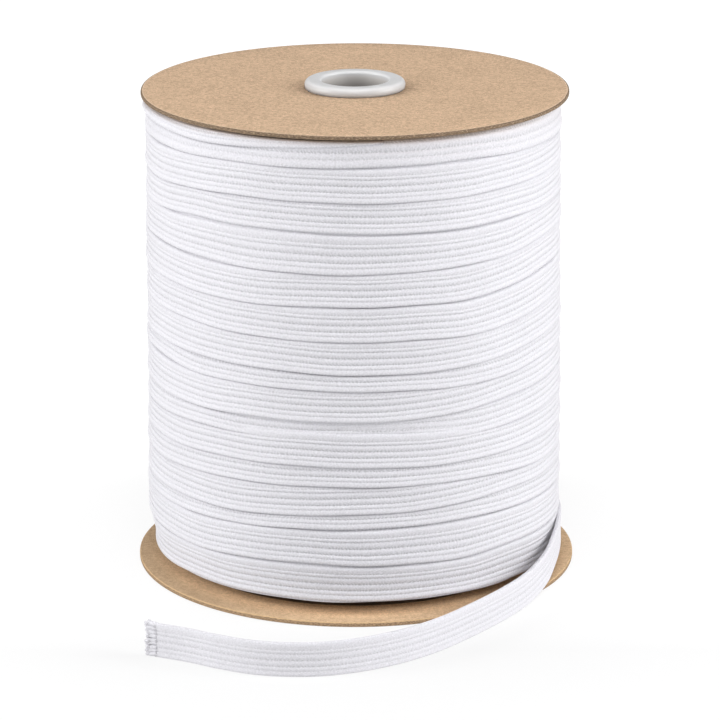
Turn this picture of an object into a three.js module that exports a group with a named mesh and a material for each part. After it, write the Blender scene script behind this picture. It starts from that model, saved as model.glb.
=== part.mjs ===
// A roll of flat braided elastic, wound on a plastic core between two cardboard discs.
// Its loose end comes off low on the right and stands on its edge in front of the roll.
// Millimetres, +Z up. The origin is on the surface that the roll stands on, under the roll's axis.
import * as THREE from 'three';

// Elastic band, whose two edges are bevelled to half its thickness
const BAND_WIDTH = 6.0;
const BAND_THICKNESS = 0.9;
const BEVEL_DEPTH = 0.225;
const BEVEL_HEIGHT = 0.27;

// Cardboard discs
const TOP_DISC_RADIUS = 37.3;
const BOTTOM_DISC_RADIUS = 38.9;
const DISC_THICKNESS = 0.9;
const DISC_EDGE_ROUND = 0.18;
const TOP_FACE_HEIGHT = 85.5;

// Plastic core, a tube with a rounded rim that stands on the top disc
const BORE_RADIUS = 5.9;
const TUBE_RADIUS = 7.4;
const RIM_RADIUS = 8.8;
const RIM_HEIGHT = 1.55;
const RIM_ROUND = 0.95;
const BORE_ROUND = 0.45;

// Room between pieces that touch
const GAP = 0.3;

// Wound elastic: a ring that leans a little off the core's axis and narrows upwards
const WINDING_FOOT = 3.3;
const WINDING_HEAD = 84.1;
const WINDING_RADIUS_LOW = 36.7;
const WINDING_RADIUS_HIGH = 36.1;
const WINDING_SHIFT = -0.4;
const GROOVE_DEPTH = 0.6;
const EDGE_ROUND = 0.4;

// A turn that shows half its width or less sinks in by the tuck depth, and one narrower than
// the merge width flattens out into its neighbours
const TUCK_DEPTH = 0.35;
const TUCKED_WIDTH = BAND_WIDTH / 2;
const MERGE_WIDTH = 2.0;

// Lower edge of each turn that shows, from the bottom up, on the right, at the front and on the left.
// Where two of them are closer than the band is wide, the lower turn is tucked under the upper one.
const TURNS = [
  { right: 3.3, front: 3.3, left: 3.3 },
  { right: 9.8, front: 10.2, left: 9.6 },
  { right: 16.2, front: 16.2, left: 15.7 },
  { right: 19.5, front: 19.3, left: 18.2 },
  { right: 23.8, front: 24.2, left: 23.0 },
  { right: 27.2, front: 27.8, left: 27.0 },
  { right: 32.2, front: 32.5, left: 32.2 },
  { right: 35.6, front: 35.6, left: 35.3 },
  { right: 40.5, front: 40.9, left: 41.0 },
  { right: 44.1, front: 43.8, left: 44.5 },
  { right: 49.8, front: 49.7, left: 50.3 },
  { right: 55.8, front: 55.8, left: 55.8 },
  { right: 62.2, front: 61.5, left: 61.9 },
  { right: 68.4, front: 68.4, left: 68.2 },
  { right: 73.5, front: 73.6, left: 73.2 },
  { right: 79.7, front: 79.7, left: 79.7 },
];

// A turn runs level from the right over the front to the left, as parts of a turn from the back.
// Behind the roll it climbs to the next turn's height.
const RIGHT_PART = 0.2;
const FRONT_PART = 0.5;
const LEFT_PART = 0.8;

// Middle of the loose band, from its lap on the roll to the cut end: place, and its lower edge's height
const LOOSE_ROUTE = [
  { x: 36.3, y: 6.5, low: 3.6 },
  { x: 36.85, y: 2.8, low: 3.5 },
  { x: 36.9, y: -1.0, low: 3.35 },
  { x: 36.65, y: -5.2, low: 3.1 },
  { x: 36.05, y: -10.0, low: 2.7 },
  { x: 34.95, y: -15.0, low: 2.05 },
  { x: 33.5, y: -19.8, low: 1.2 },
  { x: 31.6, y: -24.4, low: 0.5 },
  { x: 29.2, y: -29.3, low: 0.12 },
  { x: 26.1, y: -34.5, low: 0.05 },
  { x: 22.6, y: -39.6, low: 0.05 },
  { x: 18.9, y: -44.4, low: 0.05 },
  { x: 14.9, y: -49.2, low: 0.05 },
  { x: 10.4, y: -53.5, low: 0.05 },
  { x: 5.4, y: -57.1, low: 0.05 },
  { x: -0.1, y: -59.8, low: 0.05 },
  { x: -6.0, y: -61.4, low: 0.05 },
  { x: -11.9, y: -61.5, low: 0.05 },
  { x: -17.3, y: -60.4, low: 0.05 },
  { x: -22.8, y: -57.9, low: 0.05 },
  { x: -28.0, y: -54.9, low: 0.05 },
  { x: -34.6, y: -51.9, low: 0.05 },
];

// Fineness
const DISC_SEGMENTS = 72;
const CORE_SEGMENTS = 48;
const WINDING_COLUMNS = 64;
const ROUND_STEPS = 3;
const LOOSE_STEPS = 40;

const TURN = 2 * Math.PI;

const elasticMaterial = new THREE.MeshStandardMaterial({ color: 0xf1f0f6, roughness: 0.85, metalness: 0 });
const topCardMaterial = new THREE.MeshStandardMaterial({ color: 0xc9a275, roughness: 0.9, metalness: 0 });
const bottomCardMaterial = new THREE.MeshStandardMaterial({ color: 0xb8905f, roughness: 0.9, metalness: 0 });
const plasticMaterial = new THREE.MeshStandardMaterial({ color: 0xe6e6e8, roughness: 0.3, metalness: 0 });

// Points of a quarter round about (x, y), from one angle to another
function roundPoints(x, y, radius, from, to) {
  const points = [];
  for (let step = 0; step <= ROUND_STEPS; step += 1) {
    const angle = THREE.MathUtils.lerp(from, to, step / ROUND_STEPS);
    points.push(new THREE.Vector2(x + radius * Math.cos(angle), y + radius * Math.sin(angle)));
  }
  return points;
}

// A ring about the Z axis from a closed outline of radius and height
function ringGeometry(outline, segments) {
  const closed = [...outline, outline[0].clone()];
  return new THREE.LatheGeometry(closed, segments).rotateX(Math.PI / 2);
}

function discGeometry(radius, low) {
  const hole = TUBE_RADIUS + GAP;
  const high = low + DISC_THICKNESS;
  const round = DISC_EDGE_ROUND;
  return ringGeometry([
    new THREE.Vector2(hole, low),
    new THREE.Vector2(radius - round, low),
    new THREE.Vector2(radius, low + round),
    new THREE.Vector2(radius, high - round),
    new THREE.Vector2(radius - round, high),
    new THREE.Vector2(hole, high),
  ], DISC_SEGMENTS);
}

function coreGeometry() {
  const rimFoot = TOP_FACE_HEIGHT + GAP;
  const rimTop = TOP_FACE_HEIGHT + RIM_HEIGHT;
  const rimRound = roundPoints(RIM_RADIUS - RIM_ROUND, rimTop - RIM_ROUND, RIM_ROUND, 0, Math.PI / 2);
  const boreRound = roundPoints(BORE_RADIUS + BORE_ROUND, rimTop - BORE_ROUND, BORE_ROUND, Math.PI / 2, Math.PI);
  return ringGeometry([
    new THREE.Vector2(BORE_RADIUS, 0),
    new THREE.Vector2(TUBE_RADIUS, 0),
    new THREE.Vector2(TUBE_RADIUS, rimFoot),
    new THREE.Vector2(RIM_RADIUS, rimFoot),
    ...rimRound,
    ...boreRound,
  ], CORE_SEGMENTS);
}

// Lower edge of a turn. The whole part of turns counts them up from 0, and the rest is the way
// round from the back over the right, the front and the left.
function lowerEdge(turns) {
  const turn = Math.floor(turns);
  const part = turns - turn;
  const heights = (index) => {
    if (index < 0) return { right: WINDING_FOOT, front: WINDING_FOOT, left: WINDING_FOOT };
    if (index >= TURNS.length) return { right: WINDING_HEAD, front: WINDING_HEAD, left: WINDING_HEAD };
    return TURNS[index];
  };
  const knots = [
    { at: LEFT_PART - 1, height: heights(turn - 1).left },
    { at: RIGHT_PART, height: heights(turn).right },
    { at: FRONT_PART, height: heights(turn).front },
    { at: LEFT_PART, height: heights(turn).left },
    { at: RIGHT_PART + 1, height: heights(turn + 1).right },
  ];
  const next = knots.findIndex((knot) => part < knot.at);
  const [before, after] = [knots[next - 1], knots[next]];
  const blend = THREE.MathUtils.smoothstep(part, before.at, after.at);
  return THREE.MathUtils.lerp(before.height, after.height, blend);
}

// Radius of the roll at a height, before its grooves
function rollRadius(height) {
  const up = (height - WINDING_FOOT) / (WINDING_HEAD - WINDING_FOOT);
  return THREE.MathUtils.lerp(WINDING_RADIUS_LOW, WINDING_RADIUS_HIGH, up);
}

// Three rows for one turn at one column: the groove under it, and its lower and upper shoulder
function turnRows(turns) {
  const low = lowerEdge(turns);
  const tall = lowerEdge(turns + 1) - low;
  const fullness = Math.min(1, tall / MERGE_WIDTH);
  const tuck = TUCK_DEPTH * THREE.MathUtils.clamp((BAND_WIDTH - tall) / TUCKED_WIDTH, 0, 1);
  const shoulder = EDGE_ROUND * fullness;
  const grooveRadius = (height) => rollRadius(height) - GROOVE_DEPTH;
  const rows = [
    { height: low, proud: 0 },
    { height: low + shoulder, proud: GROOVE_DEPTH * fullness },
    { height: low + tall - shoulder, proud: (GROOVE_DEPTH - tuck) * fullness },
  ];
  return rows.map(({ height, proud }) => ({ height, radius: grooveRadius(height) + proud }));
}

// The wound ring: columns of rows that climb behind the roll, where each turn runs into the next
function windingGeometry() {
  const hole = TUBE_RADIUS + GAP;
  const positions = [];
  const numbers = new Map();
  const vertex = (column, radius, height, shift) => {
    const angle = Math.PI / 2 - TURN * (column % WINDING_COLUMNS) / WINDING_COLUMNS;
    const point = [shift + radius * Math.cos(angle), radius * Math.sin(angle), height];
    const key = point.map((value) => value.toFixed(4)).join();
    if (!numbers.has(key)) {
      numbers.set(key, positions.length / 3);
      positions.push(...point);
    }
    return numbers.get(key);
  };

  const faces = [];
  const triangle = (a, b, c) => {
    if (a !== b && b !== c && c !== a) faces.push(a, b, c);
  };
  const quad = (a, b, c, d) => {
    triangle(a, b, c);
    triangle(a, c, d);
  };

  // Outline of the ring at one column: down the core's side, then up the turns
  const outline = (column) => {
    const way = column / WINDING_COLUMNS;
    const ring = [vertex(column, hole, WINDING_HEAD, 0), vertex(column, hole, WINDING_FOOT, 0)];
    for (let turn = -1; turn <= TURNS.length; turn += 1) {
      for (const row of turnRows(turn + way)) {
        ring.push(vertex(column, row.radius, row.height, WINDING_SHIFT));
      }
    }
    ring.push(vertex(column, rollRadius(WINDING_HEAD) - GROOVE_DEPTH, WINDING_HEAD, WINDING_SHIFT));
    return ring;
  };
  const columns = [];
  for (let column = 0; column <= WINDING_COLUMNS; column += 1) columns.push(outline(column));

  for (let column = 0; column < WINDING_COLUMNS; column += 1) {
    const [here, there] = [columns[column], columns[column + 1]];
    for (let row = 0; row < here.length; row += 1) {
      const next = (row + 1) % here.length;
      quad(here[row], here[next], there[next], there[row]);
    }
  }

  const geometry = new THREE.BufferGeometry();
  geometry.setAttribute('position', new THREE.Float32BufferAttribute(positions, 3));
  geometry.setIndex(faces);
  geometry.computeVertexNormals();
  return geometry;
}

// A route whose band stands upright: its thickness is level and its width points up
class UprightRoute extends THREE.CatmullRomCurve3 {
  computeFrenetFrames(steps) {
    const frames = { tangents: [], normals: [], binormals: [] };
    const up = new THREE.Vector3(0, 0, 1);
    for (let step = 0; step <= steps; step += 1) {
      const tangent = this.getTangentAt(step / steps).setZ(0).normalize();
      frames.tangents.push(tangent);
      frames.normals.push(new THREE.Vector3().crossVectors(up, tangent));
      frames.binormals.push(up.clone());
    }
    return frames;
  }
}

function looseEndGeometry() {
  const points = LOOSE_ROUTE.map(({ x, y, low }) => new THREE.Vector3(x, y, low + BAND_WIDTH / 2));
  const halfWidth = BAND_WIDTH / 2;
  const halfThickness = BAND_THICKNESS / 2;
  const side = halfWidth - BEVEL_HEIGHT;
  const edge = halfThickness - BEVEL_DEPTH;
  const section = new THREE.Shape([
    new THREE.Vector2(halfThickness, -side),
    new THREE.Vector2(halfThickness, 0),
    new THREE.Vector2(halfThickness, side),
    new THREE.Vector2(edge, halfWidth),
    new THREE.Vector2(-edge, halfWidth),
    new THREE.Vector2(-halfThickness, side),
    new THREE.Vector2(-halfThickness, 0),
    new THREE.Vector2(-halfThickness, -side),
    new THREE.Vector2(-edge, -halfWidth),
    new THREE.Vector2(edge, -halfWidth),
  ]);
  return new THREE.ExtrudeGeometry(section, {
    steps: LOOSE_STEPS,
    extrudePath: new UprightRoute(points),
  });
}

const roll = new THREE.Group();
roll.name = 'elastic_roll';

function addPiece(name, geometry, material) {
  const piece = new THREE.Mesh(geometry, material);
  piece.name = name;
  roll.add(piece);
}

addPiece('bottom_disc', discGeometry(BOTTOM_DISC_RADIUS, 0), bottomCardMaterial);
addPiece('top_disc', discGeometry(TOP_DISC_RADIUS, TOP_FACE_HEIGHT - DISC_THICKNESS), topCardMaterial);
addPiece('core', coreGeometry(), plasticMaterial);
addPiece('winding', windingGeometry(), elasticMaterial);
addPiece('loose_end', looseEndGeometry(), elasticMaterial);

export default roll;
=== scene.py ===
"""Looks of a roll of flat braided elastic on its spool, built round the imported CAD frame.

Sizes of the roll are in millimetres and are turned into Blender's metres where a mesh is made.
The camera, the lights and the floor are placed in metres.
"""
from math import cos, pi, radians, sin

import bmesh
import bpy
import numpy as np
from mathutils import Matrix, Vector


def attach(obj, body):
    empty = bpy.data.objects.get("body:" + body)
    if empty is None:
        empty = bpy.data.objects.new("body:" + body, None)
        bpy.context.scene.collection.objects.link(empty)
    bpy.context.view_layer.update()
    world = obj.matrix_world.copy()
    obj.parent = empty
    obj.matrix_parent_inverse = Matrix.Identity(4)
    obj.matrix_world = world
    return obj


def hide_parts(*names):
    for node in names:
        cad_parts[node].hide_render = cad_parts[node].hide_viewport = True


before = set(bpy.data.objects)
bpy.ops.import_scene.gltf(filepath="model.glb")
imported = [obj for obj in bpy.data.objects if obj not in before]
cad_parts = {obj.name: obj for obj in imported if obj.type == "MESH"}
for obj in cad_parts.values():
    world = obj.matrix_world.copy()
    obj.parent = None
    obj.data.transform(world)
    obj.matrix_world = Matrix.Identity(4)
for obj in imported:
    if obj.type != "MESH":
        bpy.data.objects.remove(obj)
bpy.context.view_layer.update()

MM = 0.001
UP = np.array([0.0, 0.0, 1.0])

# Camera, fitted to the outlines of the two discs in the photo: sensor and lens in millimetres,
# place in metres, pitch and roll in degrees
CAMERA_SENSOR = 36.0
CAMERA_LENS = 183.45
CAMERA_PLACE = (0.00078, -0.6253, 0.22526)
CAMERA_PITCH = 16.85
CAMERA_ROLL = -0.12

# Name, place, width and height, and power of each light. All are aimed at one point.
LIGHT_TARGET = (0, 0, 0.04)
LIGHTS = (
    ("left_softbox", (-0.79, -0.16, 0.38), (0.4, 0.45), 6.1),
    ("right_softbox", (0.79, -0.16, 0.38), (0.4, 0.45), 6.5),
    ("front_softbox", (0.0, -0.85, 0.62), (0.5, 0.3), 3.4),
    ("top_softbox", (0.0, -0.25, 0.85), (0.5, 0.4), 1.9),
)
SURROUND_STRENGTH = 0.15
FLOOR_REACH = 4

# Elastic band: the places and depths of the grooves between its ribs, and the length of a stitch
BAND_WIDTH = 6.0
BAND_THICKNESS = 0.9
BAND_EDGE_ROUND = 0.22
GROOVES = ((1.0, 0.20), (1.75, 0.30), (2.88, 0.32), (4.02, 0.26), (4.65, 0.20))
RIB_EDGE_DEPTH = 0.14
RIB_ROUNDNESS = 2.2
RIB_STEPS = (0.0, 0.08, 0.25, 0.5, 0.75, 0.92)
STITCH = 0.66
ELASTIC_TINT = (1.0, 0.988, 1.043)

# Spool, as in part.mjs
TOP_DISC_RADIUS = 37.3
BOTTOM_DISC_RADIUS = 38.9
DISC_THICKNESS = 0.9
TOP_FACE_HEIGHT = 85.5
BORE_RADIUS = 5.9
TUBE_RADIUS = 7.4
RIM_RADIUS = 8.8
RIM_HEIGHT = 1.55
RIM_TOP = TOP_FACE_HEIGHT + RIM_HEIGHT
RIM_ROUND = 0.95
BORE_ROUND = 0.45
GAP = 0.3

# Where the cards differ from the solids, as the photo shows them: the top one's edge is thinner and
# the bottom one reaches a little further. The edges of both are rounded within the inset.
TOP_EDGE_SEEN = 0.65
BOTTOM_OVERHANG = 0.12
CARD_EDGE_INSET = 0.2

# Card colours: the face's light and dark, and the pale line along its rim. The bottom card's face colours
# are lighter than the top's: partly its own colour, partly painted light for its strip in the winding's
# shade.
TOP_CARD = ((0.70, 0.492, 0.33), (0.415, 0.292, 0.19), (0.66, 0.49, 0.35))
BOTTOM_CARD_WITH_PAINTED_LIGHT = ((0.98, 0.69, 0.43), (0.68, 0.46, 0.275), (0.56, 0.38, 0.21))

# Levels of the bottom card, by the distance from the axis and from left to right. They are painted light
# and shade: a dark ring of painted shadow deep under the winding, the full level as painted light on the
# strip in the winding's shade, lower on the open rim outside it, and painted shade darker to the left.
BOTTOM_PAINTED_LIGHT_AND_SHADE = ((0.79, 0.2), (0.80, 1.0), (0.905, 1.0), (0.925, 0.86), (0.96, 0.67), (1.0, 0.64))
BOTTOM_PAINTED_SIDE_SHADE = ((0.0, 0.77), (0.15, 0.84), (0.26, 0.92), (0.5, 0.97), (0.75, 0.97), (1.0, 1.0))

# Winding, a little fuller than the solid. It stands to the left of the axis by its shift, and its
# foot is drawn in and stands to the right of that.
WINDING_FOOT = 3.3
WINDING_HEAD = 84.3
WINDING_RADIUS_LOW = 37.0
WINDING_RADIUS_HIGH = 36.3
WINDING_SHIFT = -0.3
FOOT_DRAW_IN = 0.65
FOOT_HEIGHT = 9.0
FOOT_SHIFT = 0.55

# Layer below the outer turns, and the grooves between the turns that show on the roll's lower end
UNDER_DEPTH = 0.42
END_TURNS_RADIUS = 35.0
END_GROOVE_HALF_WIDTH = 0.12
END_GROOVE_DEPTH = 0.2

# How the band lies in it, with its first and last place counted in turns from the back
WOUND_FROM, WOUND_TO = -0.75, 16.8
COLUMNS_PER_TURN = 130
WIDEST_GAP = 0.2
EDGE_LIFT = 0.1
LEAN_OUT = 0.12
LEAN_WIDTH = 2.0
TUCK_NEAR = 0.25
TUCK_BELOW = 0.6
HEIGHT_WANDER = 0.10
RADIUS_WANDER = 0.12
HEAD_FOLD = 0.8
PAST_HEAD = 4.5

# Lower edge of each turn, from the bottom up, at these azimuths in degrees from the front, where
# those to the right are positive. A turn runs from the back over the right, the front and the left
# to the back.
AZIMUTHS = (108, 62, 45, 30, 15, 0, -15, -30, -45, -62, -108)
TURNS = (
    (3.3, 3.4, 3.5, 3.6, 3.6, 3.6, 3.6, 3.6, 3.6, 3.4, 3.3),
    (9.8, 10.0, 10.3, 9.8, 10.1, 10.15, 10.3, 10.1, 9.6, 9.6, 9.6),
    (16.2, 16.3, 16.8, 16.9, 16.9, 16.7, 16.5, 16.1, 15.7, 15.5, 15.7),
    (19.5, 20.1, 20.2, 19.8, 19.5, 19.3, 18.9, 18.3, 18.0, 18.1, 18.2),
    (23.8, 22.8, 23.4, 23.9, 24.1, 24.2, 24.1, 23.9, 23.6, 23.1, 23.0),
    (27.2, 27.2, 27.2, 27.2, 27.4, 27.6, 27.8, 27.6, 27.4, 27.0, 26.6),
    (32.2, 32.4, 31.9, 31.7, 32.3, 32.5, 32.4, 32.2, 32.2, 31.9, 31.8),
    (37.4, 37.4, 36.8, 36.2, 35.8, 35.7, 35.7, 35.6, 35.3, 35.3, 36.0),
    (41.4, 41.4, 40.8, 40.7, 41.0, 41.1, 41.2, 41.2, 41.2, 41.6, 41.6),
    (45.4, 45.2, 44.5, 44.0, 43.9, 44.0, 44.3, 44.4, 44.4, 44.5, 44.5),
    (50.9, 50.8, 49.7, 49.4, 49.8, 49.8, 49.8, 49.9, 50.1, 50.3, 50.5),
    (57.4, 57.4, 56.4, 55.7, 55.9, 55.9, 55.7, 55.5, 55.6, 55.8, 56.2),
    (63.4, 62.9, 62.1, 61.7, 61.6, 61.4, 61.5, 61.6, 61.9, 62.1, 62.6),
    (68.6, 68.4, 68.4, 68.2, 68.4, 68.5, 68.8, 68.8, 68.8, 68.3, 68.6),
    (74.4, 74.1, 73.8, 73.6, 73.7, 73.7, 73.8, 73.9, 73.6, 73.1, 73.4),
    (79.4, 79.3, 79.6, 80.0, 79.9, 79.7, 79.6, 79.6, 79.4, 79.2, 79.3),
)

# Where turn 6, counted from 0, lies sunk under its neighbours at the front, in turns
SUNK_FROM, SUNK_TO = 6.40, 6.60
SUNK_SLOPE = 0.04
SUNK_DEPTH = 0.35

# A last stretch that crosses the top turn on the left: azimuths and its lower edge, how far it
# stands out, and how much further where it lies over that turn
LAST_AZIMUTHS = (8, 0, -15, -30, -45, -62, -75, -100)
LAST_HEIGHTS = (84.0, 83.6, 83.0, 82.5, 82.2, 82.7, 83.4, 84.0)
LAST_ROWS = 60
LAST_SMOOTHED_ROWS = 7
LAST_PROUD = 0.25
LAST_RISE = 0.65
LAST_RISE_TURNS = (0.56, 0.64, 0.71, 0.76)

# Middle of the loose band, as in part.mjs: x, y and the height of its lower edge
LOOSE_ROUTE = (
    (36.3, 6.5, 3.6), (36.85, 2.8, 3.5), (36.9, -1.0, 3.35), (36.65, -5.2, 3.1),
    (36.05, -10.0, 2.7), (34.95, -15.0, 2.05), (33.5, -19.8, 1.2), (31.6, -24.4, 0.5),
    (29.2, -29.3, 0.12), (26.1, -34.5, 0.05), (22.6, -39.6, 0.05), (18.9, -44.4, 0.05),
    (14.9, -49.2, 0.05), (10.4, -53.5, 0.05), (5.4, -57.1, 0.05), (-0.1, -59.8, 0.05),
    (-6.0, -61.4, 0.05), (-11.9, -61.5, 0.05), (-17.3, -60.4, 0.05), (-22.8, -57.9, 0.05),
    (-28.0, -54.9, 0.05), (-34.6, -51.9, 0.05),
)

# Points that are drawn in place of the route's first ones, where the band lies close to the roll
LOOSE_START = ((35.4, 6.4, 3.6), (36.15, 2.75, 3.5), (36.45, -1.0, 3.35), (36.3, -5.2, 3.1),
               (35.75, -10.0, 2.7), (34.75, -15.0, 2.05))

# The loose band's ribs as a share of the wound band's, and the points of its curve that it leaves
# to the yarns at its cut end
LOOSE_RIBS = 0.6
POINTS_PER_SPAN = 12
YARN_POINTS = 2

# Frayed yarns, in two rows that lie to each side of the band's middle
YARNS_PER_ROW = 9
YARN_SPACING = 0.65
LOWEST_YARN = 0.45
YARN_SPREAD = 0.05
ROW_OFFSET = 0.1


def add_camera():
    data = bpy.data.cameras.new("camera")
    data.sensor_width = CAMERA_SENSOR
    data.lens = CAMERA_LENS
    camera = add_object("camera", data)
    place = Matrix.Translation(CAMERA_PLACE)
    tilt = Matrix.Rotation(radians(90 - CAMERA_PITCH), 4, "X")
    roll = Matrix.Rotation(radians(CAMERA_ROLL), 4, "Z")
    camera.matrix_world = place @ tilt @ roll
    bpy.context.scene.camera = camera


def add_object(name, data):
    piece = bpy.data.objects.new(name, data)
    bpy.context.scene.collection.objects.link(piece)
    return piece


def smoothstep(x, low, high):
    t = np.clip((x - low) / (high - low), 0, 1)
    return t * t * (3 - 2 * t)


def window(x, rise_from, rise_to, fall_from, fall_to):
    """A smooth rise from 0 to 1 and back."""
    return smoothstep(x, rise_from, rise_to) * (1 - smoothstep(x, fall_from, fall_to))


# Meshes from outlines

def grid_mesh(name, points, along, across, caps=False, loop=False):
    """A piece from rows of closed outlines, points[row][outline point] in millimetres.

    Its UV map holds the distance along the rows and across the outline, in millimetres.
    With caps, both ends are closed. With loop, the last row is joined to the first.
    """
    points = np.asarray(points, float)
    rows, ring = points.shape[:2]
    row = np.arange(rows if loop else rows - 1)[:, None]
    k = np.arange(ring)[None, :]
    next_row = (row + 1) % rows
    corners = np.stack([
        row * ring + k, row * ring + (k + 1) % ring,
        next_row * ring + (k + 1) % ring, next_row * ring + k,
    ], -1).reshape(-1, 4)
    ones = np.ones_like(row * k, float)
    u = np.stack([along[place] * ones for place in (row, row, row + 1, row + 1)], -1)
    v = np.stack([across[place] * ones for place in (k, k + 1, k + 1, k)], -1)
    uv = np.stack([u, v], -1).reshape(-1, 2)
    faces = corners.tolist()
    if caps:
        faces.append(list(range(ring)))
        faces.append(list(range((rows - 1) * ring, rows * ring))[::-1])
        ends = [[along[0], across[i]] for i in range(ring)]
        ends += [[along[rows - 1], across[i]] for i in range(ring)][::-1]
        uv = np.concatenate([uv, np.array(ends)])
    mesh = bpy.data.meshes.new(name)
    mesh.from_pydata((points.reshape(-1, 3) * MM).tolist(), [], faces)
    layer = mesh.uv_layers.new(name="band")
    layer.data.foreach_set("uv", uv.astype(np.float32).ravel())
    mesh.polygons.foreach_set("use_smooth", np.ones(len(faces), bool))
    mesh.update()
    return add_object(name, mesh)


def lathe(name, outline, segments):
    """A piece turned about the Z axis from a closed outline of radius and height."""
    outline = np.asarray(outline, float)
    angle = np.linspace(0, 2 * pi, segments, endpoint=False)
    points = np.stack([
        outline[None, :, 0] * np.cos(angle)[:, None],
        outline[None, :, 0] * np.sin(angle)[:, None],
        np.repeat(outline[None, :, 1], segments, 0),
    ], -1)
    closed = np.concatenate([outline, outline[:1]])
    steps = np.linalg.norm(np.diff(closed, axis=0), axis=1)
    along = np.linspace(0, 2 * pi * outline[:, 0].max(), segments + 1)
    piece = grid_mesh(name, points, along, np.concatenate([[0], np.cumsum(steps)]), loop=True)
    piece.data.flip_normals()
    return piece


def arc(x, y, radius, start, end, steps):
    return [(x + radius * cos(a), y + radius * sin(a)) for a in np.linspace(start, end, steps)]


# The band's outline

def rib_height(across):
    """How far the band's face lies back from its highest line, as a height of 0 or less."""
    marks = ((0.0, RIB_EDGE_DEPTH), *GROOVES, (BAND_WIDTH, RIB_EDGE_DEPTH))
    back = np.zeros_like(across)
    for (a, depth_a), (b, depth_b) in zip(marks, marks[1:]):
        t = np.clip((across - a) / (b - a), 0, 1)
        inside = (across >= a) & (across <= b)
        back[inside] = (depth_a * (1 - t) ** RIB_ROUNDNESS + depth_b * t ** RIB_ROUNDNESS)[inside]
    return -back


def band_outline(both_ribbed, rib_depth=1.0):
    """Across and outward distances of the band's closed outline, and its UV distance."""
    marks = [0.0, *[place for place, _ in GROOVES], BAND_WIDTH]
    across = []
    for a, b in zip(marks, marks[1:]):
        across += [a + (b - a) * t for t in RIB_STEPS]
    across = np.array(across + [BAND_WIDTH])
    face = rib_depth * rib_height(across)
    edge = BAND_EDGE_ROUND
    past_edge = np.where(across > BAND_WIDTH - edge, across - BAND_WIDTH + edge, 0)
    past_edge = np.where(across < edge, edge - across, past_edge)
    face = face - (edge - np.sqrt(np.maximum(edge ** 2 - past_edge ** 2, 0)))
    half = BAND_THICKNESS / 2
    outer = np.stack([across, half + face], -1)
    back_across = across[::-1] if both_ribbed else np.linspace(BAND_WIDTH, 0, 5)
    back_face = face[::-1] if both_ribbed else np.full(5, -0.05)
    inner = np.stack([back_across, -half - back_face], -1)
    uv = np.concatenate([outer[:, 0], inner[:, 0], [0.0]])
    return np.concatenate([outer, inner]), uv


# The winding

# Places of the azimuths in a turn, which starts at the back
KNOTS = [0.5 - azimuth / 360 for azimuth in AZIMUTHS]


def turn_heights(index):
    """Lower edge of a turn at its knots, also below the first turn and above the last one."""
    if index < 0:
        return [WINDING_FOOT] * len(KNOTS)
    if index >= len(TURNS):
        return [WINDING_HEAD + PAST_HEAD] * len(KNOTS)
    return TURNS[index]


def make_edge_table():
    """Knots of the whole spiral's lower edge: turns counted up from the bottom, and heights."""
    at, height = [], []
    for index in range(-2, len(TURNS) + 2):
        for knot, value in zip(KNOTS, turn_heights(index)):
            at.append(index + knot)
            height.append(value)
    return np.array(at), np.array(height)


EDGE_AT, EDGE_HEIGHT = make_edge_table()


def lower_edge(turns):
    """Height of the spiral's lower edge, on a smooth curve through the knots."""
    span = np.diff(EDGE_AT)
    slope = np.diff(EDGE_HEIGHT) / span
    tangent = np.zeros_like(EDGE_AT)
    tangent[1:-1] = (slope[:-1] * span[1:] + slope[1:] * span[:-1]) / (span[1:] + span[:-1])
    i = np.clip(np.searchsorted(EDGE_AT, turns) - 1, 0, len(span) - 1)
    t = (turns - EDGE_AT[i]) / span[i]
    before = (2 * t ** 3 - 3 * t ** 2 + 1) * EDGE_HEIGHT[i]
    before = before + (t ** 3 - 2 * t ** 2 + t) * span[i] * tangent[i]
    after = (3 * t ** 2 - 2 * t ** 3) * EDGE_HEIGHT[i + 1]
    after = after + (t ** 3 - t ** 2) * span[i] * tangent[i + 1]
    return before + after


def roll_radius(height):
    up = np.clip((height - WINDING_FOOT) / (WINDING_HEAD - WINDING_FOOT), 0, 1)
    return WINDING_RADIUS_LOW + (WINDING_RADIUS_HIGH - WINDING_RADIUS_LOW) * up


def foot_share(height):
    """How far the roll is drawn in and aside at its foot, from 0 to 1."""
    return 1 - smoothstep(height, WINDING_FOOT, WINDING_FOOT + FOOT_HEIGHT)


def wander(turns, seed, rates):
    """A slow seeded wander between about -1 and 1, from waves with these rates per turn."""
    rng = np.random.default_rng(seed)
    total = 0
    for rate in rates:
        total = total + np.sin(2 * pi * (turns * rate + rng.random()))
    return total / len(rates)


def sunk(turns):
    """How far the band is sunk at a count of turns, from 0 to 1."""
    return window(turns, SUNK_FROM - SUNK_SLOPE, SUNK_FROM + SUNK_SLOPE,
                  SUNK_TO - SUNK_SLOPE, SUNK_TO + SUNK_SLOPE)


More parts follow.
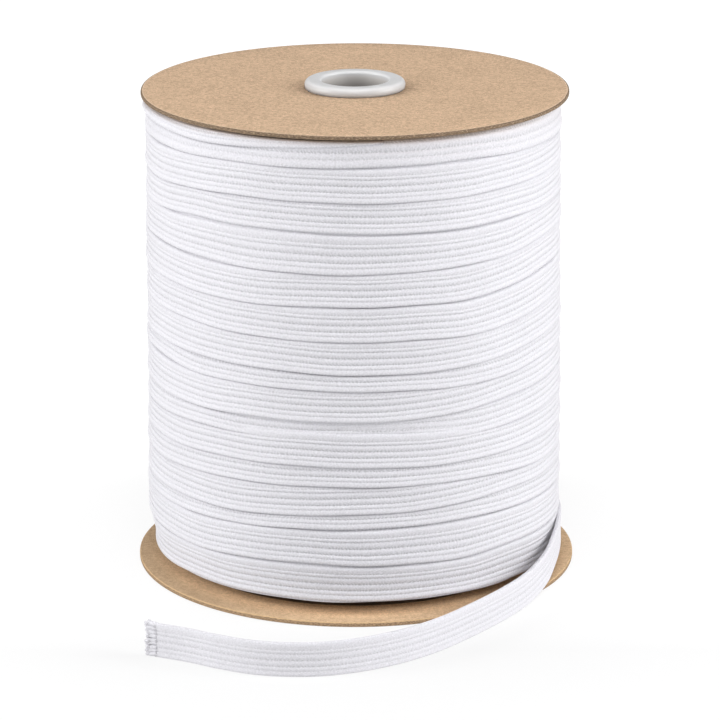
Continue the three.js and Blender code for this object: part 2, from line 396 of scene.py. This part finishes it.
def wrap_points(turns, low, outward, stretch=1.0):
    """Rows of the band's outline laid on the roll, from the height of its lower edge.

    What would stand above the winding's head folds in over the roll's end instead.
    """
    outline, across_uv = band_outline(both_ribbed=False)
    across, out = outline[None, :, 0], outline[None, :, 1]
    height = low[:, None] + across * stretch
    foot = foot_share(height)
    radius = roll_radius(height) - BAND_THICKNESS / 2 + out + outward - FOOT_DRAW_IN * foot
    radius = radius + RADIUS_WANDER * wander(turns, 5, (3.1, 7.7, 11.3))[:, None]
    over = np.clip((height - (WINDING_HEAD - HEAD_FOLD)) / HEAD_FOLD, 0, None)
    turned = np.minimum(over, pi / 2)
    in_again = np.maximum(over - pi / 2, 0) * HEAD_FOLD
    height = np.where(over > 0, WINDING_HEAD - HEAD_FOLD + HEAD_FOLD * np.sin(turned), height)
    radius = radius - HEAD_FOLD * (1 - np.cos(turned)) - in_again
    angle = pi / 2 - 2 * pi * turns
    x = WINDING_SHIFT + FOOT_SHIFT * foot + radius * np.cos(angle)[:, None]
    y = radius * np.sin(angle)[:, None]
    return np.stack([x, y, height], -1), turns * 2 * pi * WINDING_RADIUS_LOW, across_uv


def winding_points(first, last):
    """Rows of the wound band's outline between two counts of turns.

    The band is drawn wider where the next turn leaves a gap, goes in as it nears that turn and
    further below it, and leans out at its own lower edge.
    """
    steps = int(round((last - first) * COLUMNS_PER_TURN))
    turns = np.linspace(first, last, steps + 1)
    low = lower_edge(turns) + HEIGHT_WANDER * wander(turns, 3, (5.3, 9.1, 14.7))
    low = np.maximum(low + EDGE_LIFT, WINDING_FOOT)
    room = (lower_edge(turns + 1) - low)[:, None]
    stretch = np.maximum(1.0, (room - WIDEST_GAP) / BAND_WIDTH)
    across = band_outline(both_ribbed=False)[0][None, :, 0] * stretch
    nearing = TUCK_NEAR * smoothstep(across, room - 0.55, room)
    below = TUCK_BELOW * smoothstep(across, room - 0.1, room + 0.4)
    tuck = (nearing + below) * (1 - sunk(turns + 1)[:, None])
    lean = LEAN_OUT * (1 - np.clip(across / LEAN_WIDTH, 0, 1))
    return wrap_points(turns, low, lean - tuck - SUNK_DEPTH * sunk(turns)[:, None], stretch)


def last_stretch_points():
    """Rows of the last stretch, which lies over the top turn on the left."""
    knots = np.array([0.5 - azimuth / 360 for azimuth in LAST_AZIMUTHS])
    turns = np.linspace(knots[0], knots[-1], LAST_ROWS)
    low = np.interp(turns, knots, LAST_HEIGHTS)
    low = np.pad(low, LAST_SMOOTHED_ROWS // 2, mode="edge")
    low = np.convolve(low, np.full(LAST_SMOOTHED_ROWS, 1 / LAST_SMOOTHED_ROWS), mode="valid")
    proud = LAST_PROUD + LAST_RISE * window(turns, *LAST_RISE_TURNS)
    return wrap_points(turns, low, proud[:, None])


def under_layer(name):
    """The turns below the outer ones, which show in its gaps, and the roll's two ends."""
    inside = TUBE_RADIUS + GAP
    face = WINDING_FOOT + 0.05
    highest = WINDING_HEAD - 0.6
    outline = [(inside, highest + 0.1), (inside, face)]
    for radius in np.arange(inside + BAND_THICKNESS, END_TURNS_RADIUS, BAND_THICKNESS):
        outline += [(radius - END_GROOVE_HALF_WIDTH, face), (radius, face + END_GROOVE_DEPTH),
                    (radius + END_GROOVE_HALF_WIDTH, face)]
    for low in np.arange(WINDING_FOOT + 0.1, highest, BAND_WIDTH):
        for across in np.linspace(0, BAND_WIDTH, 30, endpoint=False):
            height = low + across
            if height < highest:
                back = rib_height(np.array([across]))[0]
                radius = roll_radius(height) - UNDER_DEPTH - FOOT_DRAW_IN * foot_share(height)
                outline.append((radius + back, height))
    piece = lathe(name, outline, 120)
    for vertex in piece.data.vertices:
        vertex.co.x += (WINDING_SHIFT + FOOT_SHIFT * foot_share(vertex.co.z / MM)) * MM
    return piece


# The loose band

def centre_line(points, per_span):
    """A smooth centripetal curve through points."""
    p = np.asarray(points, float)
    p = np.concatenate([[2 * p[0] - p[1]], p, [2 * p[-1] - p[-2]]])
    curve = []
    for i in range(1, len(p) - 2):
        p0, p1, p2, p3 = p[i - 1:i + 3]
        spans = [np.linalg.norm(b - a) ** 0.5 for a, b in ((p0, p1), (p1, p2), (p2, p3))]
        t0, t1, t2, t3 = np.cumsum([0.0, *spans])
        count = per_span if i < len(p) - 3 else per_span + 1
        for t in t1 + (t2 - t1) * np.arange(count) / per_span:
            a1 = (t1 - t) / (t1 - t0) * p0 + (t - t0) / (t1 - t0) * p1
            a2 = (t2 - t) / (t2 - t1) * p1 + (t - t1) / (t2 - t1) * p2
            a3 = (t3 - t) / (t3 - t2) * p2 + (t - t2) / (t3 - t2) * p3
            b1 = (t2 - t) / (t2 - t0) * a1 + (t - t0) / (t2 - t0) * a2
            b2 = (t3 - t) / (t3 - t1) * a2 + (t - t1) / (t3 - t1) * a3
            curve.append((t2 - t) / (t2 - t1) * b1 + (t - t1) / (t2 - t1) * b2)
    return np.array(curve)


def upright_band(name, curve):
    """The band on edge along a curve of its middle, x, y and the height of its lower edge."""
    outline, across_uv = band_outline(both_ribbed=True, rib_depth=LOOSE_RIBS)
    tangent = np.gradient(curve, axis=0)
    tangent[:, 2] = 0
    tangent /= np.linalg.norm(tangent, axis=1)[:, None]
    side = np.stack([-tangent[:, 1], tangent[:, 0]], -1)
    across, out = outline[None, :, 0], outline[None, :, 1]
    x = curve[:, None, 0] + side[:, None, 0] * out
    y = curve[:, None, 1] + side[:, None, 1] * out
    z = curve[:, None, 2] + across
    steps = np.linalg.norm(np.diff(curve, axis=0), axis=1)
    along = np.concatenate([[0], np.cumsum(steps)])
    piece = grid_mesh(name, np.stack([x, y, z], -1), along, across_uv, caps=True)
    piece.data.flip_normals()
    return piece


def curled_yarn(name, start, ahead, side, spread, thick, reach, curl, spin):
    """A yarn that runs straight out of the cut end and then curls over, the way its spin points.

    Its UV map lies on one of the band's ribs, clear of the grooves.
    """
    path = [start + ahead * t + UP * spread * max(t, 0) for t in np.linspace(-0.4, reach, 6)]
    bend = path[-1]
    over = side * cos(spin) + UP * sin(spin)
    for angle in np.linspace(0.2, 1.7, 6):
        path.append(bend + ahead * curl * sin(angle) + over * curl * (1 - cos(angle)))
    path = np.array(path)
    path[:, 2] = np.maximum(path[:, 2], thick + 0.05)
    tangent = np.gradient(path, axis=0)
    tangent /= np.linalg.norm(tangent, axis=1)[:, None]
    first = np.cross(tangent, UP * cos(spin) - side * sin(spin))
    first /= np.linalg.norm(first, axis=1)[:, None]
    second = np.cross(tangent, first)
    around = np.linspace(0, 2 * pi, 8, endpoint=False)[None, :, None]
    ring = first[:, None] * np.cos(around) + second[:, None] * np.sin(around)
    taper = thick * np.append(np.ones(len(path) - 3), (0.95, 0.8, 0.4))
    points = path[:, None] + ring * taper[:, None, None]
    return grid_mesh(name, points, 0.3 * np.arange(len(path)), np.linspace(1.95, 2.55, 9), caps=True)


def frayed_end(name, curve):
    """Curled yarns that stick out of the cut end of a band, in two rows over its width."""
    rng = np.random.default_rng(11)
    end = curve[-1]
    ahead = (curve[-1] - curve[-3]) * (1, 1, 0)
    ahead /= np.linalg.norm(ahead)
    side = np.array([-ahead[1], ahead[0], 0.0])
    whole = bmesh.new()
    for row in (-1, 1):
        for k in range(YARNS_PER_ROW):
            thick = rng.uniform(0.36, 0.43)
            reach = rng.uniform(0.7, 1.15)
            curl = rng.uniform(0.5, 0.6)
            spin = rng.uniform(0, 2 * pi)
            height = LOWEST_YARN + YARN_SPACING * k + rng.uniform(-0.1, 0.1)
            start = end + UP * height + side * (ROW_OFFSET * row)
            spread = YARN_SPREAD * (k - (YARNS_PER_ROW - 1) / 2)
            yarn = curled_yarn(name, start, ahead, side, spread, thick, reach, curl, spin)
            whole.from_mesh(yarn.data)
            bpy.data.objects.remove(yarn)
    mesh = bpy.data.meshes.new(name)
    bmesh.ops.recalc_face_normals(whole, faces=whole.faces)
    whole.to_mesh(mesh)
    whole.free()
    return add_object(name, mesh)


# The spool

def disc_outline(radius, low, high):
    """Underside, rounded cut edge and upper face of a card disc with a hole for the tube."""
    edge = [(radius - 0.16, low), (radius - 0.03, low + 0.08), (radius, low + 0.2),
            (radius - 0.02, (low + high) / 2), (radius, high - 0.25), (radius - 0.04, high - 0.08),
            (radius - CARD_EDGE_INSET, high)]
    rings = np.linspace(TUBE_RADIUS + GAP, radius - CARD_EDGE_INSET, 12)[:-1]
    return [(r, low) for r in rings] + edge + [(r, high) for r in rings[::-1]]


def core_outline():
    """The tube's wall, and a rim that stands on the top card, rounded outside and into the bore."""
    rim_foot = TOP_FACE_HEIGHT + 0.02
    outline = [(BORE_RADIUS, 0.0), (TUBE_RADIUS, 0.0), (TUBE_RADIUS, rim_foot), (RIM_RADIUS - 0.1, rim_foot)]
    outline += arc(RIM_RADIUS - RIM_ROUND, RIM_TOP - RIM_ROUND, RIM_ROUND, -0.2, pi / 2, 12)
    outline += arc(BORE_RADIUS + BORE_ROUND, RIM_TOP - BORE_ROUND, BORE_ROUND, pi / 2, pi, 8)
    return outline


# Shader nodes

def new_material(name):
    material = bpy.data.materials.new(name)
    material.use_nodes = True
    tree = material.node_tree
    shader = next(node for node in tree.nodes if node.type == "BSDF_PRINCIPLED")
    return material, tree, shader


def object_place(tree):
    return tree.nodes.new("ShaderNodeTexCoord").outputs["Object"]


def split_node(tree, vector):
    node = tree.nodes.new("ShaderNodeSeparateXYZ")
    tree.links.new(vector, node.inputs[0])
    return node.outputs


def band_place(tree):
    """Distances along a piece's rows and across its outline, in millimetres, from its UV map."""
    uv = tree.nodes.new("ShaderNodeUVMap")
    uv.uv_map = "band"
    along, across, _ = split_node(tree, uv.outputs[0])
    return along, across


def length_node(tree, vector):
    node = tree.nodes.new("ShaderNodeVectorMath")
    node.operation = "LENGTH"
    tree.links.new(vector, node.inputs[0])
    return node.outputs["Value"]


def math_node(tree, operation, *values):
    node = tree.nodes.new("ShaderNodeMath")
    node.operation = operation
    for socket, value in zip(node.inputs, values):
        if isinstance(value, (int, float)):
            socket.default_value = value
        else:
            tree.links.new(value, socket)
    return node.outputs[0]


def scaled_pair(tree, along, across, along_scale, across_scale):
    """A texture's vector from two distances, each with its own scale."""
    node = tree.nodes.new("ShaderNodeCombineXYZ")
    tree.links.new(math_node(tree, "MULTIPLY", along, along_scale), node.inputs[0])
    tree.links.new(math_node(tree, "MULTIPLY", across, across_scale), node.inputs[1])
    return node.outputs[0]


def noise_node(tree, vector, scale, detail=2.0):
    node = tree.nodes.new("ShaderNodeTexNoise")
    node.inputs["Scale"].default_value = scale
    node.inputs["Detail"].default_value = detail
    tree.links.new(vector, node.inputs["Vector"])
    return node.outputs["Fac"]


def varied(tree, level, noise, amount):
    """A level that a noise moves up and down, by up to half the amount."""
    return math_node(tree, "MULTIPLY_ADD", math_node(tree, "SUBTRACT", noise, 0.5), amount, level)


def ramp_node(tree, value, stops):
    """A ramp through (place, level) or (place, colour) stops."""
    node = tree.nodes.new("ShaderNodeValToRGB")
    elements = node.color_ramp.elements
    while len(elements) > 1:
        elements.remove(elements[-1])
    for index, (place, level) in enumerate(stops):
        element = elements[0] if index == 0 else elements.new(place)
        element.position = place
        colour = (level, level, level) if isinstance(level, (int, float)) else level
        element.color = (*colour, 1.0)
    tree.links.new(value, node.inputs["Fac"])
    return node.outputs["Color"]


def mix_colour(tree, factor, a, b, blend="MIX"):
    node = tree.nodes.new("ShaderNodeMix")
    node.data_type = "RGBA"
    node.blend_type = blend
    for socket, value in ((node.inputs[0], factor), (node.inputs[6], a), (node.inputs[7], b)):
        if isinstance(value, (int, float)):
            socket.default_value = value
        elif isinstance(value, tuple):
            socket.default_value = (*value, 1.0)
        else:
            tree.links.new(value, socket)
    return node.outputs[2]


def bump_node(tree, height, distance, shader):
    node = tree.nodes.new("ShaderNodeBump")
    node.inputs["Strength"].default_value = 1.0
    node.inputs["Distance"].default_value = distance
    tree.links.new(height, node.inputs["Height"])
    tree.links.new(node.outputs["Normal"], shader.inputs["Normal"])


# Materials

def groove_stops():
    """Stops of a ramp over the band's width, from 0 on its ribs to 1 in its deepest groove.
    It is painted shade: dark in the grooves and at the band's edges, lightest on each rib's upper part, as
    under light from above.
    """
    marks = ((0.0, 0.2), *GROOVES, (BAND_WIDTH, 0.1))
    deepest = max(depth for _, depth in GROOVES)
    stops = []
    for (start, depth), (end, next_depth) in zip(marks, marks[1:]):
        room = end - start
        stops += [(start, depth), (start + 0.25 * room, 0.55 * depth), (start + 0.72 * room, 0.0),
                  (end - 0.12 * room, 0.3 * next_depth)]
    return [(place / BAND_WIDTH, depth / deepest) for place, depth in [*stops, marks[-1]]]


def elastic_material(name, level, dash_depth):
    """White braid with dashes of shade in its grooves, where slanted stitches cross them."""
    material, tree, shader = new_material(name)
    along, across = band_place(tree)
    across = math_node(tree, "WRAP", across, BAND_WIDTH + 0.01, 0.0)
    place = object_place(tree)
    # Painted shade in the grooves and at the band's edges, lightest on each rib's upper part
    groove = ramp_node(tree, math_node(tree, "DIVIDE", across, BAND_WIDTH), groove_stops())

    slant = math_node(tree, "PINGPONG", across, 0.55)
    phase = math_node(tree, "MULTIPLY_ADD", slant, 0.35, along)
    drift = noise_node(tree, scaled_pair(tree, along, across, 0.45, 1.1), 1.0)
    phase = math_node(tree, "MULTIPLY_ADD", drift, 2.4, phase)
    stitch = math_node(tree, "SINE", math_node(tree, "MULTIPLY", phase, 2 * pi / STITCH))
    stitch = math_node(tree, "MULTIPLY_ADD", stitch, 0.5, 0.5)
    dash = math_node(tree, "MULTIPLY", groove, math_node(tree, "MULTIPLY_ADD", stitch, 1.1, 0.15))

    speckle = noise_node(tree, scaled_pair(tree, along, across, 3.2, 5.0), 1.0, 3.0)
    fibre = noise_node(tree, place, 3200.0)
    cloud = noise_node(tree, place, 90.0)
    shade = math_node(tree, "MULTIPLY_ADD", dash, -dash_depth, 1.05)
    for noise, amount in ((speckle, 0.4), (fibre, 0.28), (cloud, 0.05)):
        shade = varied(tree, shade, noise, amount)
    shade = math_node(tree, "MULTIPLY_ADD", stitch, 0.02, shade)
    white = tree.nodes.new("ShaderNodeCombineColor")
    for socket, tint in zip(white.inputs, ELASTIC_TINT):
        tree.links.new(math_node(tree, "MULTIPLY", shade, level * tint), socket)
    tree.links.new(white.outputs[0], shader.inputs["Base Color"])

    height = math_node(tree, "MULTIPLY_ADD", speckle, 1.0, math_node(tree, "MULTIPLY", stitch, 0.4))
    bump_node(tree, math_node(tree, "SUBTRACT", height, dash), 0.045 * MM, shader)
    shader.inputs["Roughness"].default_value = 0.72
    shader.inputs["Specular IOR Level"].default_value = 0.25
    shader.inputs["Sheen Weight"].default_value = 0.3
    shader.inputs["Sheen Roughness"].default_value = 0.5
    return material


def card_material(name, radius, colours, radial_painted_light_and_shade=None, painted_side_shade=None):
    """Chipboard whose cut edge shows its plies, under a pale line along the face's rim.

    The face is multiplied by painted light and shade levels outward from the axis, and by painted shade
    levels from left to right.
    """
    material, tree, shader = new_material(name)
    light, dark, pale = colours
    place = object_place(tree)
    cloud = noise_node(tree, place, 130.0, 3.0)
    grain = noise_node(tree, place, 1700.0, 4.0)
    fleck = noise_node(tree, place, 4200.0, 2.0)
    level = math_node(tree, "MULTIPLY_ADD", cloud, 0.15, math_node(tree, "MULTIPLY", grain, 0.85))
    level = varied(tree, level, fleck, 1.0)
    face = ramp_node(tree, level, [(0.3, dark), (0.7, light)])
    # Painted light and shade, by the distance from the axis
    if radial_painted_light_and_shade:
        share = math_node(tree, "DIVIDE", length_node(tree, place), radius * MM)
        face = mix_colour(tree, 1.0, face, ramp_node(tree, share, radial_painted_light_and_shade), "MULTIPLY")
    # Painted shade, darker towards the left
    if painted_side_shade:
        share = math_node(tree, "MULTIPLY_ADD", split_node(tree, place)[0], 0.5 / (radius * MM), 0.5)
        face = mix_colour(tree, 1.0, face, ramp_node(tree, share, painted_side_shade), "MULTIPLY")

    around, across = band_place(tree)
    ply = noise_node(tree, scaled_pair(tree, around, across, 2.2, 7.0), 1.0, 3.0)
    levels = ((0.42, 0.3, dark), (0.56, 0.55, dark), (0.76, 0.8, pale))
    plies = [(stop, tuple(share * value for value in colour)) for stop, share, colour in levels]
    plies = ramp_node(tree, ply, plies)
    past_underside = math_node(tree, "SUBTRACT", across, radius - CARD_EDGE_INSET - TUBE_RADIUS - GAP)
    spot = varied(tree, past_underside, ply, 0.25)
    on_edge = ramp_node(tree, spot, [(0.0, 0.0), (0.05, 1.0), (0.88, 1.0), (0.96, 0.0)])
    on_rim = ramp_node(tree, past_underside, [(0.0, 0.0), (0.88, 0.0), (0.95, 1.0)])
    past_rim = math_node(tree, "SUBTRACT", past_underside, 1.0)
    before_face = ramp_node(tree, past_rim, [(0.02, 1.0), (0.2, 0.0)])
    colour = mix_colour(tree, math_node(tree, "MULTIPLY", on_rim, before_face), face, pale)
    colour = mix_colour(tree, on_edge, colour, plies)
    tree.links.new(colour, shader.inputs["Base Color"])
    bump_node(tree, math_node(tree, "MULTIPLY_ADD", ply, 0.6, level), 0.06 * MM, shader)
    shader.inputs["Roughness"].default_value = 0.85
    shader.inputs["Specular IOR Level"].default_value = 0.2
    return material


def plastic_material(name):
    """White plastic, with painted shade that darkens its rim's wall below the top and the bore's wall with
    depth, the depth taken as a share of 8 mm.
    """
    material, tree, shader = new_material(name)
    place = object_place(tree)
    x, y, z = split_node(tree, place)
    depth = math_node(tree, "DIVIDE", math_node(tree, "SUBTRACT", RIM_TOP * MM, z), 8.0 * MM)
    cloud = noise_node(tree, place, 160.0)
    rim = ramp_node(tree, cloud, [(0.3, (0.635, 0.635, 0.64)), (0.7, (0.68, 0.68, 0.685))])
    # Painted shade: the rim darker down its wall, below the top face
    rim_painted_shade = ramp_node(tree, depth, [(0.0, 1.0), (0.03, 0.97), (0.06, 0.82), (0.2, 0.72)])
    rim = mix_colour(tree, 1.0, rim, rim_painted_shade, "MULTIPLY")
    # Painted shade down the bore, darker with depth
    tube = ramp_node(tree, depth, [(0.1, (0.51, 0.49, 0.47)), (0.4, (0.23, 0.215, 0.2)),
                                   (0.8, (0.08, 0.07, 0.065))])
    inside = ramp_node(tree, depth, [(0.06, 0.0), (0.14, 1.0)])
    out_squared = math_node(tree, "MULTIPLY_ADD", y, y, math_node(tree, "MULTIPLY", x, x))
    wall = math_node(tree, "LESS_THAN", out_squared, ((BORE_RADIUS + 0.3) * MM) ** 2)
    colour = mix_colour(tree, math_node(tree, "MULTIPLY", inside, wall), rim, tube)
    tree.links.new(colour, shader.inputs["Base Color"])
    bump_node(tree, noise_node(tree, place, 400.0), 0.01 * MM, shader)
    shader.inputs["Roughness"].default_value = 0.32
    shader.inputs["Specular IOR Level"].default_value = 0.35
    shader.inputs["Subsurface Weight"].default_value = 0.25
    shader.inputs["Subsurface Radius"].default_value = (0.003, 0.003, 0.003)
    shader.inputs["Subsurface Scale"].default_value = 1.0
    return material


def floor_material(name):
    """A floor that glows white, with painted shade: a little less glow near the roll, and a painted shadow
    that dims it in front of the roll.
    """
    material, tree, shader = new_material(name)
    place = object_place(tree)
    # Painted shade: the glow is lower near the roll
    glow = math_node(tree, "MULTIPLY_ADD", length_node(tree, place), 1.5, 0.77)
    glow = math_node(tree, "SMOOTH_MIN", glow, 1.0, 0.05)
    # Painted shadow in front of the roll
    forward = math_node(tree, "MULTIPLY", split_node(tree, place)[1], -10.0)
    painted_front_shadow = ramp_node(tree, forward, [(0.25, 0.0), (0.5, 0.1)])
    tree.links.new(math_node(tree, "SUBTRACT", glow, painted_front_shadow), shader.inputs["Emission Strength"])
    shader.inputs["Emission Color"].default_value = (1, 1, 1, 1)
    shader.inputs["Base Color"].default_value = (0.14, 0.14, 0.14, 1)
    shader.inputs["Roughness"].default_value = 0.9
    return material


# Scene

def finish_piece(piece, material, slot, *nodes):
    piece.data.materials.append(material)
    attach(piece, "root")
    if nodes:
        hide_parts(*nodes)
    return piece


def add_area_light(name, place, size, power):
    data = bpy.data.lights.new(name, "AREA")
    data.shape = "RECTANGLE"
    data.size, data.size_y = size
    data.energy = power
    light = add_object(name, data)
    light.location = place
    aim = Vector(LIGHT_TARGET) - Vector(place)
    light.rotation_euler = aim.to_track_quat("-Z", "Y").to_euler()


add_camera()

elastic = elastic_material("elastic", 0.59, 0.28)
# A lighter copy of the elastic for the loose band: its higher level is painted light, and its grooves have
# less painted shade
loose_elastic_painted_lighter = elastic_material("loose_elastic_painted_lighter", 0.605, 0.16)
top_card = card_material("top_card", TOP_DISC_RADIUS, TOP_CARD)
bottom_card = card_material("bottom_card", BOTTOM_DISC_RADIUS, BOTTOM_CARD_WITH_PAINTED_LIGHT, BOTTOM_PAINTED_LIGHT_AND_SHADE, BOTTOM_PAINTED_SIDE_SHADE)
plastic = plastic_material("core_plastic")

# Loose band, whose start sinks into the roll
loose_curve = centre_line([*LOOSE_START, *LOOSE_ROUTE[len(LOOSE_START):]], POINTS_PER_SPAN)
loose_curve = loose_curve[:-YARN_POINTS]
loose = upright_band("loose_band", loose_curve)
finish_piece(loose, loose_elastic_painted_lighter, "elastic", "loose_end")
tufts = frayed_end("cut_end_yarns", loose_curve)
finish_piece(tufts, loose_elastic_painted_lighter, "elastic")

# Winding
wound = grid_mesh("wound_band", *winding_points(WOUND_FROM, WOUND_TO), caps=True)
finish_piece(wound, elastic, "elastic", "winding")
last_stretch = grid_mesh("last_stretch", *last_stretch_points(), caps=True)
finish_piece(last_stretch, elastic, "elastic")
under = under_layer("under_band")
finish_piece(under, elastic, "elastic", "winding")

# Spool
bottom_outline = disc_outline(BOTTOM_DISC_RADIUS + BOTTOM_OVERHANG, 0.0, DISC_THICKNESS)
bottom_disc = lathe("bottom_card_disc", bottom_outline, 256)
finish_piece(bottom_disc, bottom_card, "bottom_card", "bottom_disc")
top_outline = disc_outline(TOP_DISC_RADIUS, TOP_FACE_HEIGHT - TOP_EDGE_SEEN, TOP_FACE_HEIGHT)
top_disc = lathe("top_card_disc", top_outline, 256)
finish_piece(top_disc, top_card, "top_card", "top_disc")
core = lathe("core_tube", core_outline(), 128)
finish_piece(core, plastic, "core_plastic", "core")

# Floor, lights and the studio's white surround
floor_mesh = bpy.data.meshes.new("floor")
floor_corners = [(x * FLOOR_REACH, y * FLOOR_REACH, 0) for x, y in ((-1, -1), (1, -1), (1, 1), (-1, 1))]
floor_mesh.from_pydata(floor_corners, [], [(0, 1, 2, 3)])
floor_mesh.materials.append(floor_material("floor"))
floor = add_object("floor", floor_mesh)

world = bpy.data.worlds.new("studio")
bpy.context.scene.world = world
world.use_nodes = True
background = next(node for node in world.node_tree.nodes if node.type == "BACKGROUND")
background.inputs["Color"].default_value = (1, 1, 1, 1)
background.inputs["Strength"].default_value = SURROUND_STRENGTH

for light in LIGHTS:
    add_area_light(*light)

bpy.context.scene.view_settings.view_transform = "Standard"
